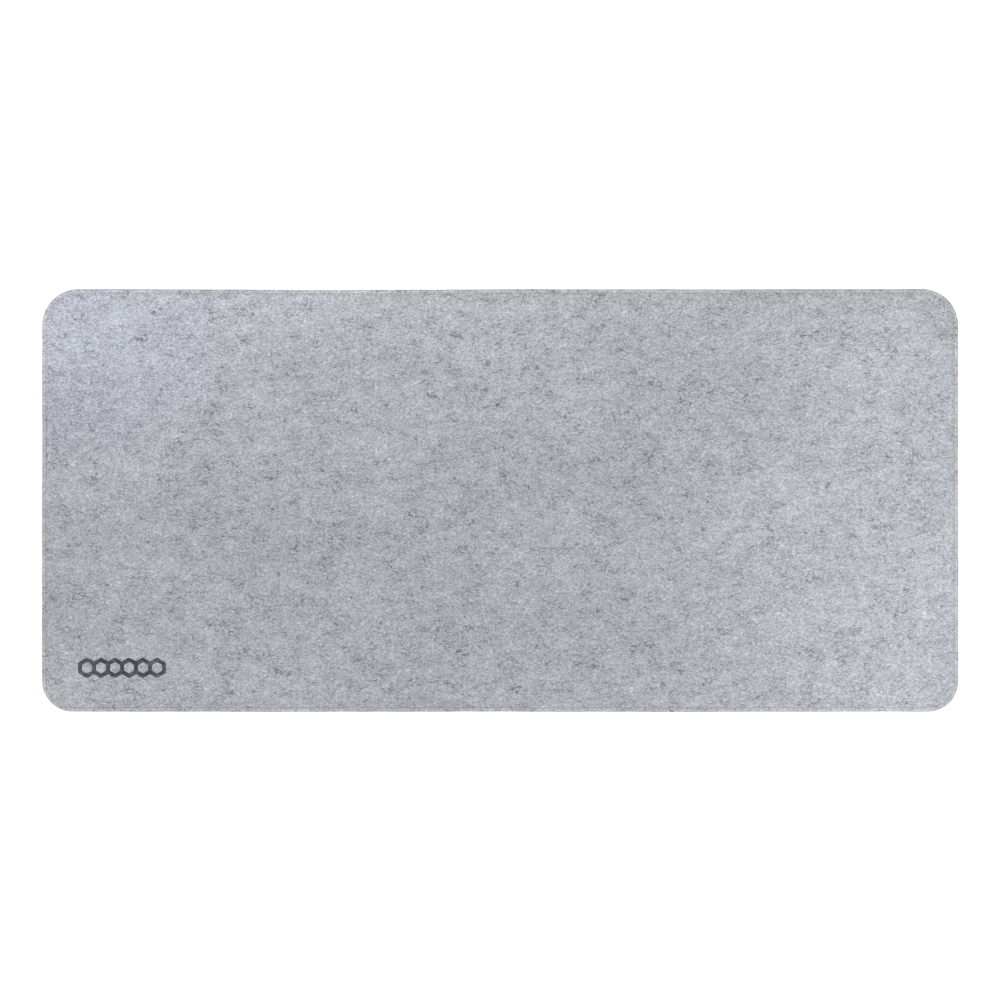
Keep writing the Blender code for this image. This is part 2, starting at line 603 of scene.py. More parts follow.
@dataclass(frozen=True)
class Pattern:
    """Cloudy noise whose features are about a size in metres across.

    The swing says how far it moves a tone, in shares of full white. Detail is how many finer
    layers it has, rough how strong each is beside the one before, and bent how far it is twisted.
    """

    size: float
    swing: float = 0.0
    detail: float = 2.0
    rough: float = 0.5
    bent: float = 0.0

    def move(self, noise: Value) -> Value:
        """How far the pattern's noise moves a tone: swing * (noise - 1/2)."""
        return self.swing * (noise - 0.5)


class Canvas:
    """The nodes of one material, round its Principled shader."""

    def __init__(self, name: str, colour: Triple, roughness: float, **uniform: Any) -> None:
        """Starts a material.

        Args:
            name: its name.
            colour: its plain base colour.
            roughness: its plain roughness.
            **uniform: other shader sockets that are the same all over, with _ for a space.
        """
        self.material = bpy.data.materials.new(name)
        self.material.use_nodes = True
        self.material.diffuse_color = (*colour, 1.0)
        self.tree = self.material.node_tree
        self.shader = self.tree.nodes["Principled BSDF"]
        self.feed("Base Color", (*colour, 1.0))
        self.feed("Roughness", roughness)
        for socket, given in uniform.items():
            self.feed(socket.replace("_", " "), given)

    def node(self, kind: str, settings: Mapping[str, Any], inputs: Mapping[Any, Any]) -> bpy.types.Node:
        """Adds a node.

        Args:
            kind: the node's type.
            settings: its own settings, set first.
            inputs: the values or links of its sockets, by name or number.

        Returns:
            The node.
        """
        made = self.tree.nodes.new(kind)
        for name, setting in settings.items():
            setattr(made, name, setting)
        for place, given in inputs.items():
            self.join(given, made.inputs[place])
        return made

    def join(self, given: Any, socket: bpy.types.NodeSocket) -> None:
        """Links a socket to another one, or sets its value."""
        if isinstance(given, Value):
            given = given.socket
        if isinstance(given, bpy.types.NodeSocket):
            self.tree.links.new(given, socket)
        else:
            socket.default_value = given

    def feed(self, socket: str, given: Any) -> None:
        """Sets or links one of the shader's sockets."""
        self.join(given, self.shader.inputs[socket])

    def places(self, stretch: Triple = EVEN, shift: Triple = (0.0, 0.0, 0.0)) -> bpy.types.NodeSocket:
        """Places on the object in metres, in which a pattern is stretched along each axis.

        Args:
            stretch: how many times longer the pattern is along x, y and z.
            shift: how far the pattern is moved, so that two patterns don't match.

        Returns:
            A vector socket.
        """
        source = self.node("ShaderNodeTexCoord", {}, {}).outputs["Object"]
        scale = tuple(1 / along for along in stretch)
        inputs = {"Vector": source, "Location": shift, "Scale": scale}
        return self.node("ShaderNodeMapping", {}, inputs).outputs["Vector"]

    def noise(self, places: bpy.types.NodeSocket, pattern: Pattern) -> Value:
        """A pattern from 0 to 1, laid on some places."""
        inputs = {
            "Vector": places,
            "Scale": 1 / pattern.size,
            "Detail": pattern.detail,
            "Roughness": pattern.rough,
            "Distortion": pattern.bent,
        }
        return Value(self, self.node("ShaderNodeTexNoise", {}, inputs).outputs[0])

    def ramp(self, value: Value, low: float, high: float) -> Value:
        """0 where a value is low, 1 where it is high, and a straight line between."""
        inputs = {"Value": value, "From Min": low, "From Max": high}
        made = self.node("ShaderNodeMapRange", {"clamp": True}, inputs)
        return Value(self, made.outputs[0])

    def tone_attribute(self) -> Value:
        """The tone that the mesh's own points hold."""
        made = self.node("ShaderNodeAttribute", {"attribute_name": TONE}, {})
        return Value(self, made.outputs["Fac"])

    def vector(self, operation: str, *operands: Any) -> bpy.types.NodeSocket:
        """A Vector Math node on some operands; SCALE takes a vector and a number."""
        sockets = ("Vector", "Scale") if operation == "SCALE" else range(len(operands))
        inputs = dict(zip(sockets, operands))
        return self.node("ShaderNodeVectorMath", {"operation": operation}, inputs).outputs[0]

    def tinted(self, tone: Value, tint: Any) -> bpy.types.NodeSocket:
        """A colour: a tint times a tone as the eye sees it, raised to GAMMA for the light's scale."""
        return self.vector("SCALE", tint, tone.clamped(0.0, 1.0) ** GAMMA)

    def bump(self, height: Value, depth: float) -> None:
        """Feeds the shader's Normal from a height of 0 to 1 that stands for a depth in metres."""
        inputs = {"Height": height, "Distance": depth, "Strength": 1.0}
        self.feed("Normal", self.node("ShaderNodeBump", {}, inputs).outputs["Normal"])


@dataclass(frozen=True)
class HeatheredFelt:
    """Needled felt of light grey fibres with some dark ones, its pattern drawn out along x.

    Dark strands gather in clusters and light ones lie between them. The tint is moved from patch
    to patch by up to half of the cast, either way.
    """

    name: str = "heathered_felt"
    base: float = 0.655
    tint: Triple = (0.951, 0.993, 1.057)
    octaves: tuple[Pattern, ...] = (
        Pattern(90 * MM, 0.050, 0.0),
        Pattern(28 * MM, 0.029, 0.0),
        Pattern(14 * MM, 0.028, 0.0),
        Pattern(7 * MM, 0.038, 0.0),
        Pattern(3.6 * MM, 0.052, 0.0),
    )
    grain: Pattern = Pattern(1.5 * MM, 0.54, 1.8, 0.6, 0.5)
    clusters: Pattern = Pattern(12 * MM, detail=1.0)
    cluster_range: Pair = (0.40, 0.64)
    dark: Pattern = Pattern(4.2 * MM, 0.195, 0.0, bent=0.9)
    dark_width: float = 0.056
    light: Pattern = Pattern(5 * MM, 0.07, 0.0, bent=0.9)
    light_width: float = 0.06
    nap: Pattern = Pattern(0.9 * MM)
    nap_depth: float = 0.30 * MM
    cast: Triple = (-0.036, 0.036, 0.0)
    patches: Pattern = Pattern(22 * MM, detail=1.0)

    @staticmethod
    def strands(canvas: Canvas, pattern: Pattern, width: float, shift: Triple) -> Value:
        """Thin winding lines: noise is folded at its middle, and only the fold is kept."""
        places = canvas.places((1.7, 1.0, 1.0), shift)
        return canvas.ramp(abs(canvas.noise(places, pattern) - 0.5), width, 0.0)

    def tone(self, canvas: Canvas, grain: Value, fine: bpy.types.NodeSocket) -> Value:
        """The felt's tone, from its grain and the places that its clusters are laid on."""
        flat = canvas.places((1.9, 1.0, 1.0))
        # The points' tone brings in the rim's painted highlight and painted shade.
        tone = self.base + canvas.tone_attribute()
        for octave in self.octaves:
            tone = tone + octave.move(canvas.noise(flat, octave))
        clustered = canvas.ramp(canvas.noise(fine, self.clusters), *self.cluster_range)
        dark = self.strands(canvas, self.dark, self.dark_width, (0.7, 0.2, 0.1)) * clustered
        light = self.strands(canvas, self.light, self.light_width, (0.1, 0.9, 0.4))
        light = light * (1 - clustered)
        tone = tone + self.light.swing * light - self.dark.swing * dark
        return tone + self.grain.move(grain)

    def make(self) -> bpy.types.Material:
        """The material."""
        canvas = Canvas(self.name, (0.40, 0.43, 0.46), 0.95, Sheen_Weight=0.12, Sheen_Roughness=0.6)
        canvas.feed("Specular IOR Level", 0.15)
        fine = canvas.places((1.3, 1.0, 1.0), (0.31, 0.17, 0.0))
        grain = canvas.noise(fine, self.grain)
        patches = canvas.noise(canvas.places(EVEN, (0.5, 0.3, 0.2)), self.patches)
        drift = canvas.vector("SCALE", EVEN, patches - 0.5)
        tint = canvas.vector("MULTIPLY_ADD", self.cast, drift, self.tint)
        canvas.feed("Base Color", canvas.tinted(self.tone(canvas, grain, fine), tint))
        nap = canvas.noise(canvas.places((1.5, 1.0, 1.0)), self.nap)
        canvas.bump(0.6 * grain + 0.4 * nap, self.nap_depth)
        return canvas.material


@dataclass(frozen=True)
class LooseFibre:
    """Single fibres; each mesh holds its fibres' own tones."""

    name: str = "loose_fibre"
    tint: Triple = (0.951, 0.993, 1.057)
    flecks: Pattern = Pattern(3 * MM, 0.12, 1.0)

    def make(self) -> bpy.types.Material:
        """The material."""
        canvas = Canvas(self.name, (0.42, 0.44, 0.47), 0.7, Sheen_Weight=0.1)
        flecks = canvas.noise(canvas.places(), self.flecks)
        tone = canvas.tone_attribute() + self.flecks.move(flecks)
        canvas.feed("Base Color", canvas.tinted(tone, self.tint))
        return canvas.material


@dataclass(frozen=True)
class TwistedThread:
    """Spun sewing thread: plies show as slanting ridges, through the thread's own map."""

    name: str = "sewing_thread"
    base: float = 0.735
    tint: Triple = (0.965, 0.995, 1.035)
    flecks: Pattern = Pattern(2.2 * MM, 0.16)
    plies: int = 2
    ply_length: float = 1.1 * MM
    ply_swing: float = 0.10
    ply_middle: float = 0.6
    ply_depth: float = 0.08 * MM

    def make(self) -> bpy.types.Material:
        """The material."""
        canvas = Canvas(self.name, (0.48, 0.50, 0.52), 0.62, Sheen_Weight=0.15)
        source = canvas.node("ShaderNodeUVMap", {"uv_map": PLY_MAP}, {}).outputs["UV"]
        split = canvas.node("ShaderNodeSeparateXYZ", {}, {"Vector": source})
        along, around = Value(canvas, split.outputs["X"]), Value(canvas, split.outputs["Y"])
        ply = 0.5 + 0.5 * (TURN * (self.plies * around + along * (1 / self.ply_length))).sine()
        flecks = canvas.noise(canvas.places(), self.flecks)
        tone = self.base + self.ply_swing * (ply - self.ply_middle) + self.flecks.move(flecks)
        # The points' tone brings in the painted shade where the thread dives into the holes.
        canvas.feed("Base Color", canvas.tinted(tone + canvas.tone_attribute(), self.tint))
        canvas.bump(ply, self.ply_depth)
        return canvas.material


@dataclass(frozen=True)
class GripRubber:
    """Foamed rubber, dull and nearly black, with fine pores and a little dust."""

    name: str = "grip_rubber"
    base: float = 0.205
    tint: Triple = (0.97, 1.0, 1.05)
    pores: Pattern = Pattern(0.8 * MM, 0.06)
    dust: Pattern = Pattern(24 * MM, 0.12, 4.0, 0.6)
    pore_depth: float = 0.10 * MM

    def make(self) -> bpy.types.Material:
        """The material."""
        canvas = Canvas(self.name, (0.030, 0.031, 0.034), 0.8)
        places = canvas.places()
        pores = canvas.noise(places, self.pores)
        dust = canvas.noise(places, self.dust)
        tone = self.base + self.dust.move(dust) + self.pores.move(pores) + canvas.tone_attribute()
        canvas.feed("Base Color", canvas.tinted(tone, self.tint))
        canvas.feed("Roughness", 0.70 + 0.25 * dust)
        canvas.bump(pores, self.pore_depth)
        return canvas.material


@dataclass(frozen=True)
class BondingFilm:
    """Set adhesive: milky, slightly glossy, a little uneven."""

    name: str = "bonding_film"
    base: float = 0.70
    tint: Triple = (1.0, 0.995, 0.965)
    streaks: Pattern = Pattern(6 * MM, 0.12, 3.0)
    streak_depth: float = 0.05 * MM

    def make(self) -> bpy.types.Material:
        """The material."""
        canvas = Canvas(self.name, (0.60, 0.60, 0.57), 0.45)
        streaks = canvas.noise(canvas.places((2.0, 1.0, 1.0)), self.streaks)
        canvas.feed("Base Color", canvas.tinted(self.base + self.streaks.move(streaks), self.tint))
        canvas.feed("Roughness", 0.35 + 0.25 * streaks)
        canvas.bump(streaks, self.streak_depth)
        return canvas.material


@dataclass(frozen=True)
class TransferInk:
    """Dark ink pressed into felt, so that the nap still shows through it as lighter specks."""

    name: str = "transfer_ink"
    base: float = 0.270
    tint: Triple = (0.85, 0.955, 1.20)
    grain: Pattern = Pattern(1.6 * MM, 0.50, 3.0, 0.6)
    patches: Pattern = Pattern(6 * MM, 0.26)
    worn_range: Pair = (0.58, 0.76)
    worn_swing: float = 0.10
    grain_depth: float = 0.20 * MM

    def make(self) -> bpy.types.Material:
        """The material."""
        canvas = Canvas(self.name, (0.055, 0.065, 0.080), 0.7)
        places = canvas.places((1.4, 1.0, 1.0))
        grain = canvas.noise(places, self.grain)
        patches = canvas.noise(places, self.patches)
        worn = canvas.ramp(grain, *self.worn_range)
        tone = self.base + self.grain.move(grain) + self.patches.move(patches)
        canvas.feed("Base Color", canvas.tinted(tone + self.worn_swing * worn, self.tint))
        canvas.feed("Roughness", 0.60 + 0.30 * grain)
        canvas.bump(grain, self.grain_depth)
        return canvas.material


@dataclass(frozen=True)
class StudioPaper:
    """White seamless paper, lit through from behind so that it stays clean white."""

    name: str = "studio_paper"
    glow: float = 0.66
    grey: Triple = (0.45, 0.45, 0.45)

    def make(self) -> bpy.types.Material:
        """The material."""
        canvas = Canvas(self.name, self.grey, 0.9, Emission_Color=(*EVEN, 1.0))
        canvas.feed("Emission Strength", self.glow)
        canvas.feed("Specular IOR Level", 0.1)
        return canvas.material


# ---------------------------------------------------------------------------------------------
# Felt, film and base


@dataclass
class FeltTop(Sheet):
    """The felt: a rounded lip, the groove that the seam presses in, and a calm middle.

    Its height over an inset u is the top, less a bell curve along the seam, less a dimple at each
    needle hole, less the lip's drop and its round edge. The rings' insets are in millimetres.
    Each band of the rim's painted light (a painted highlight on the lip, painted shade beside the seam
    and on the round edge) is a swing, with the inset that it is strongest at and its spread.
    """

    phases: tuple[float, ...] = (0.0, 0.10, 0.36, 0.64, 0.90)
    insets: tuple[float, ...] = (
        0.0, 0.08, 0.3, 0.6, 1.0, 1.5, 2.1, 2.6, 3.0, 3.35, 3.65, 3.95, 4.3, 4.8, 5.3, 6.0, 7.2, 9.5,
    )
    cell: float = 6.5 * MM
    edge_radius: float = 1.2 * MM
    lip_drop: float = 0.22 * MM
    lip_from: float = 1 * MM
    press_depth: float = 0.30 * MM
    press_spread: float = 1.15 * MM
    hole_depth: float = 0.60 * MM
    hole_spread: float = 0.50 * MM
    sway: float = 0.10 * MM
    calm_from: float = 5 * MM
    calm_over: float = 9 * MM
    # Painted shade in and round each needle hole, spread over hole_shade.
    painted_hole_shade: float = -0.055
    hole_shade: float = 0.62 * MM
    # Painted light along the rim: a painted highlight on the lip, painted shade beside the seam, and
    # painted shade on the round edge.
    painted_rim_bands: tuple[tuple[float, float, float], ...] = (
        (0.045, 2.1 * MM, 0.7 * MM),
        (-0.008, 5.2 * MM, 0.8 * MM),
        (-0.06, 0.0, 0.6 * MM),
    )

    def swayed(self, x: np.ndarray, y: np.ndarray) -> np.ndarray:
        """The top with a slow unevenness: three crossing waves, each some centimetres long."""
        waves = np.sin(41 * x + 23 * y) + np.sin(67 * x - 58 * y + 1.3) + np.sin(29 * y - 35 * x + 2.9)
        return self.layers.felt_top + self.sway / 3 * waves

    def rim_height(self, inset: np.ndarray, points: np.ndarray, past_hole: np.ndarray) -> np.ndarray:
        """The height near the rim.

        Args:
            inset: each point's inset.
            points: its x and y.
            past_hole: how far along the seam it lies from the nearest needle hole.

        Returns:
            z.
        """
        seam = self.outline.seam_inset
        calm = 1 - smooth_step((inset - self.calm_from) / self.calm_over)
        top = self.swayed(points[..., 0], points[..., 1])
        top = calm * self.layers.felt_top + (1 - calm) * top
        press = self.press_depth * hill(inset, seam, self.press_spread)
        apart = np.hypot(inset - seam, past_hole)
        hole = self.hole_depth * hill(apart, 0, self.hole_spread)
        lip = self.lip_drop * (1 - smooth_step((inset - self.lip_from) / (seam - self.lip_from)))
        shy = np.clip(self.edge_radius - inset, 0, None)
        edge = self.edge_radius - np.sqrt(self.edge_radius**2 - shy**2)
        return top - press - hole - lip - edge

    def painted_rim_light(self, inset: np.ndarray, past_hole: np.ndarray) -> np.ndarray:
        """Painted light near the rim: a painted highlight on the lip, painted shade on the round edge
        and beside the seam, and painted shade in the needle holes.
        """
        apart = np.hypot(inset - self.outline.seam_inset, past_hole)
        along = sum(swing * hill(inset, middle, spread) for swing, middle, spread in self.painted_rim_bands)
        return along + self.painted_hole_shade * hill(apart, 0, self.hole_shade)

    def on_map(self, points: np.ndarray, size: Pair, corner: Pair) -> np.ndarray:
        """Where points lie on the UV map, when the mat fills a box of a size at a corner."""
        mat = np.array([self.outline.width, self.outline.depth])
        share = points[..., :2] / (1.01 * mat) + 0.5
        return share * np.array(size) + np.array(corner)

    def top_places(self, points: np.ndarray) -> np.ndarray:
        """The top takes nearly all of the map."""
        return self.on_map(points, (0.98, 0.89), (0.01, 0.01))

    def under_places(self, points: np.ndarray) -> np.ndarray:
        """The underside takes a thin strip of the map, as it is never seen."""
        return self.on_map(points, (0.98, 0.03), (0.01, 0.955))

    def build(self, finish: bpy.types.Material) -> bpy.types.Object:
        """Makes the felt, from its underside round the rim to its top."""
        maker = MeshMaker()
        place, phase = self.outline.stitch_places(np.array(self.phases))
        past_hole = self.outline.past_hole(phase)

        low = self.layers.felt_low
        inset = np.array(self.insets)[:, None] * MM
        top = self.outline.ring(place, inset)
        height = self.rim_height(inset, top, past_hole)
        # The top's painted highlight and painted shade, held in the points' tone.
        tone = self.painted_rim_light(inset, past_hole)
        top_rings = maker.add_points(raised(top, height), tone)

        side_inset = np.array([0.25, 0.0, 0.0])[:, None] * MM
        side_height = np.array([low, low + 0.25 * MM, low + 0.9 * MM])[:, None]
        side = self.outline.ring(place, side_inset)
        side_rings = maker.add_points(raised(side, side_height))

        u = np.append(place, self.outline.length) / self.outline.length * 0.98 + 0.01
        v = np.linspace(0.91, 0.94, 4)[:, None]
        maker.add_bands(np.concatenate([side_rings, top_rings[:1]]), join(u, v))
        maker.add_bands(top_rings, self.top_places)
        self.middle(maker, top_rings[-1], self.cell, self.swayed, Facing.UP, self.top_places)
        flat = self.outline.width / 24
        self.middle(maker, side_rings[0], flat, low, Facing.DOWN, self.under_places)

        made = maker.finish("felt_sheet", BAKE_MAP)
        piece(made, Slot.FELT, finish, Part.FELT)
        return made


@dataclass
class FlatLayer(Sheet):
    """A thin layer with a plain edge: a flat underside and top, joined round the rim."""

    def rings(self, maker: MeshMaker, profile: np.ndarray) -> np.ndarray:
        """Adds a ring at each (inset, height) of a profile that goes out round the edge and up.

        Args:
            maker: what the rings are added to.
            profile: insets and heights, in metres.

        Returns:
            The rings' point numbers.
        """
        place, _ = self.outline.stitch_places(np.array([0.0, 0.5]))
        points = self.outline.ring(place, profile[:, :1])
        rings = maker.add_points(raised(points, profile[:, 1:]))
        maker.add_bands(rings)
        return rings


@dataclass
class BondFilm(FlatLayer):
    """The set adhesive between the felt and the base, squeezed out to just inside the rim."""

    setback: float = 0.20 * MM
    swell: float = 0.12 * MM
    cell: float = 30 * MM

    def build(self, finish: bpy.types.Material) -> bpy.types.Object:
        """Makes the film."""
        low, top = self.layers.film_low, self.layers.film_top
        inner = self.setback + self.swell
        profile = [
            (inner, low),
            (self.setback, low + 0.3 * (top - low)),
            (self.setback, low + 0.7 * (top - low)),
            (inner, top),
        ]
        maker = MeshMaker()
        rings = self.rings(maker, np.array(profile))
        self.middle(maker, rings[0], self.cell, low, Facing.DOWN)
        self.middle(maker, rings[-1], self.cell, top, Facing.UP)
        made = maker.finish("bond_layer")
        piece(made, Slot.FILM, finish, Part.FILM)
        return made


@dataclass
class GripBase(FlatLayer):
    """The rubber base: pyramid grip underneath, a channel for the bobbin thread, a flat top.

    Faces whose normal's z lies below flat_below are the underside's, and are shaded flat.
    """

    net_start: float = 6 * MM
    grip_pitch: float = 5.0 * MM
    grip_depth: float = 0.40 * MM
    tip_tone: float = 0.07
    valley_tone: float = -0.025
    edge: float = 0.2 * MM
    channel_half: float = 0.5 * MM
    channel_flank: float = 0.4 * MM
    channel_roof: float = 0.75 * MM
    cell: float = 30 * MM
    flat_below: float = -0.9

    @staticmethod
    def tips(x: np.ndarray) -> np.ndarray:
        """1 at every second point of every second row of a net, where a pyramid has its tip."""
        rows, columns = np.indices(x.shape)
        return (rows % 2) * (columns % 2)

    def grip_height(self, x: np.ndarray, _: np.ndarray) -> np.ndarray:
        """Pyramids that stand down and touch the desk with their tips."""
        return self.grip_depth * (1 - self.tips(x))

    def grip_tone(self, x: np.ndarray, _: np.ndarray) -> np.ndarray:
        """The tips are rubbed paler, and the valleys between them are darker."""
        return np.where(self.tips(x) == 1, self.tip_tone, self.valley_tone)

    def build(self, finish: bpy.types.Material) -> bpy.types.Object:
        """Makes the base."""
        top = self.layers.base_top
        seam = self.outline.seam_inset
        near, far = self.channel_half, self.channel_half + self.channel_flank
        profile = [
            (seam + self.net_start, 0),
            (seam + far, 0),
            (seam + near, self.channel_roof),
            (seam - near, self.channel_roof),
            (seam - far, 0),
            (self.edge, 0),
            (0, self.edge),
            (0, top - self.edge),
            (self.edge, top),
        ]
        maker = MeshMaker()
        rings = self.rings(maker, np.array(profile))
        cell = self.grip_pitch / 2
        self.middle(maker, rings[0], cell, self.grip_height, Facing.DOWN, tone=self.grip_tone)
        self.middle(maker, rings[-1], self.cell, top, Facing.UP)
        made = maker.finish("grip_sheet")
        mesh = made.data
        mesh.set_sharp_from_angle(angle=math.radians(35))
        normals = np.empty(3 * len(mesh.polygons), dtype=np.float32)
        mesh.polygons.foreach_get("normal", normals)
        mesh.polygons.foreach_set("use_smooth", normals[2::3] > self.flat_below)
        piece(made, Slot.BASE, finish, Part.BASE)
        return made


# ---------------------------------------------------------------------------------------------
# Threads, print and fibres


@dataclass
class SeamThread:
    """A sewing thread that arches over each stitch and dives into the needle holes.

    Its middle's height over a phase p is crest - dive * exp(-(distance to the hole / spread)^2),
    turned over for the thread underneath. It leans from one side of the seam to the other once
    in every stitch, and each stitch is a little looser or tighter than the next.
    """

    outline: Outline
    name: str
    part: Part
    facing: Facing
    crest: float
    diameter: float
    dive: float
    spread: float = 0.55 * MM
    lean: float = 0.14 * MM
    loose_side: float = 0.05 * MM
    loose_lift: float = 0.03 * MM
    pinch: float = 0.22
    # Painted shade on the thread where it dives into a needle hole.
    painted_hole_shade: float = -0.20
    sides: int = 6
    phases: tuple[float, ...] = (0.0, 0.05, 0.10, 0.17, 0.30, 0.50, 0.70, 0.83, 0.90, 0.95)

    def build(self, finish: bpy.types.Material) -> bpy.types.Object:
        """Makes the thread as one closed tube."""
        random = np.random.default_rng(SEED + self.facing.value)
        place, phase = self.outline.stitch_places(np.array(self.phases))
        buried = hill(self.outline.past_hole(phase), 0, self.spread)
        slackness = np.repeat(random.normal(0, 1, self.outline.stitches), len(self.phases))
        loose = slackness * np.sin(np.pi * phase) ** 2
        sideways = self.lean * np.sin(TURN * phase) + self.loose_side * loose
        drop = self.dive * buried - self.loose_lift * np.abs(loose)
        height = self.crest - self.facing.value * drop
        flat = self.outline.ring(place, self.outline.seam_inset - sideways)
        route = raised(flat, height)

        ahead = unit(np.roll(route, -1, axis=0) - np.roll(route, 1, axis=0))
        radius = self.diameter / 2 * (1 - self.pinch * buried)
        points = tube_points(route, ahead, radius, self.sides)

        maker = MeshMaker()
        # The points' tone is painted shade where the thread dives into the holes.
        rings = maker.add_points(points, self.painted_hole_shade * buried[:, None])
        rings = np.concatenate([rings, rings[:1]])
        u = np.append(place, self.outline.length)[:, None]
        v = np.linspace(0, 1, self.sides + 1)[None]
        maker.add_bands(rings, join(u, v))
        made = maker.finish(self.name, PLY_MAP)
        piece(made, Slot.THREAD, finish, self.part)
        return made


@dataclass
class PrintedDevice:
    """A strip of honeycomb cells drawn in one soft-cornered line, pressed into the felt.

    The line's profile is (growth, height over the felt) pairs in millimetres, from below.
    """

    cells: int = 6
    line: float = 4.0 * MM
    corner: float = 2.6 * MM
    hole_corner: float = 1.6 * MM
    valley_corner: float = 1.4 * MM
    steps: int = 7
    profile: tuple[tuple[float, float], ...] = (
        (-0.10, -0.25),
        (0.0, -0.15),
        (0.02, 0.01),
        (-0.10, 0.07),
    )

    @staticmethod
    def rounded(loop: np.ndarray, radius: np.ndarray, steps: int) -> np.ndarray:
        """Turns each corner of a loop into an arc that touches both of its sides.

        The arc's centre lies on the corner's bisector, radius / sin(half the corner's angle)
        away, and its points turn evenly from one touching point to the other.
        """
        before = unit(np.roll(loop, 1, axis=0) - loop)
        after = unit(np.roll(loop, -1, axis=0) - loop)
        half = np.arccos((before * after).sum(axis=-1)) / 2
        centre = loop + unit(before + after) * (radius / np.sin(half))[:, None]
        first = loop + before * (radius / np.tan(half))[:, None] - centre
        last = loop + after * (radius / np.tan(half))[:, None] - centre
        turn = np.pi - 2 * half
        share = np.linspace(0, 1, steps)
        from_first = np.sin((1 - share) * turn[:, None]) / np.sin(turn)[:, None]
        from_last = np.sin(share * turn[:, None]) / np.sin(turn)[:, None]
        arcs = from_first[..., None] * first[:, None] + from_last[..., None] * last[:, None]
        return (centre[:, None] + arcs).reshape(-1, 2)

    def loops(self, growth: float) -> list[np.ndarray]:
        """The outer loop and the holes, with the line made wider by a growth on each side.

        The outer loop runs anticlockwise and the holes clockwise, so that the ink is always on
        the left. Cells stand on a point and share their upright sides.
        """
        low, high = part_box(Part.DEVICE.value)
        slant = math.sqrt(3)
        outer = (high[1] - low[1]) / 2
        middle = outer - self.line / slant
        pitch = slant * middle
        reach = outer + growth * 2 / slant
        hole = middle - (self.line / 2 + growth) * 2 / slant
        valley = reach - pitch / (2 * slant)
        left = low[0] + slant / 2 * outer
        centre_y = (low[1] + high[1]) / 2
        right = left + (self.cells - 1) * pitch

        half_steps = np.arange(2 * self.cells - 1)
        top_x = right - half_steps * pitch / 2
        top_y = np.where(half_steps % 2 == 0, reach, valley)
        top = join(top_x, top_y)
        first = [[right + slant / 2 * reach, reach / 2]]
        last = [[left - slant / 2 * reach, reach / 2]]
        upper = np.concatenate([first, top, last])
        lower = upper[::-1] * np.array([1, -1])
        outline = np.concatenate([upper, lower])
        is_valley = np.concatenate([[False], half_steps % 2 == 1, [False]])
        is_valley = np.concatenate([is_valley, is_valley[::-1]])
        radius = np.where(is_valley, self.valley_corner - growth, self.corner + growth)
        shapes = [self.rounded(outline, radius, self.steps)]

        angle = -TURN * np.arange(6) / 6 + QUARTER
        for cell in range(self.cells):
            corners = join(left + cell * pitch + hole * np.cos(angle), hole * np.sin(angle))
            shapes.append(self.rounded(corners, np.full(6, self.hole_corner - growth), self.steps))
        return [shape + np.array([0, centre_y]) for shape in shapes]

    def build(self, felt_top: float, finish: bpy.types.Material) -> bpy.types.Object:
        """Makes the print: every loop is carried up a profile, and both faces are filled."""
        profile = np.array(self.profile) * MM
        maker = MeshMaker()
        grown = [self.loops(growth) for growth, _ in profile]
        first_rings, last_rings, flat_loops = [], [], []
        for loop in zip(*grown):
            height = (felt_top + profile[:, 1])[:, None]
            points = np.array(loop)
            rings = maker.add_points(raised(points, height))
            maker.add_bands(rings)
            first_rings.append(rings[0])
            last_rings.append(rings[-1])
            flat_loops.append([Vector((x, y, 0)) for x, y in points[0]])
        triangles = np.array(tessellate_polygon(flat_loops))
        flat = np.concatenate([np.array(loop)[:, :2] for loop in flat_loops])
        a, b, c = (flat[triangles[:, corner]] for corner in range(3))
        turned = np.cross(b - a, c - a) < 0
        triangles[turned] = triangles[turned, ::-1]
        maker.add_faces(np.concatenate(first_rings)[triangles], Facing.DOWN)
        maker.add_faces(np.concatenate(last_rings)[triangles], Facing.UP)
        made = maker.finish("honeycomb_print")
        made.data.set_sharp_from_angle(angle=math.radians(50))
        piece(made, Slot.PRINT, finish, Part.DEVICE)
        return made


@dataclass
class Fibres:
    """What both kinds of fibre share: their tones, and how they are written as one piece.

    Each kind of tone is a mean and a spread.
    """

    outline: Outline

    @staticmethod
    def tones(random: np.random.Generator, count: int, dark_share: float, *kinds: Pair) -> np.ndarray:
        """Each fibre's tone: first a share of dark ones is drawn, then the dark and light tones."""
        is_dark = random.uniform(0, 1, count) < dark_share
        dark, light = (random.normal(*kind, count) for kind in kinds)
        return np.where(is_dark, dark, light)

    @staticmethod
    def write(
        name: str,
        flat: np.ndarray,
        height: np.ndarray,
        radius: np.ndarray,
        tone: np.ndarray,
        finish: bpy.types.Material,
    ) -> None:
        """Makes the fibres as closed tubes.

        Args:
            name: the piece's name.
            flat: x and y of each fibre's points.
            height: z of the points.
            radius: the radius at each point.
            tone: each fibre's tone.
            finish: the piece's material.
        """
        maker = MeshMaker()
        add_tubes(maker, raised(flat, height), radius, tone)
        piece(maker.finish(name, BAKE_MAP), Slot.FELT, finish)


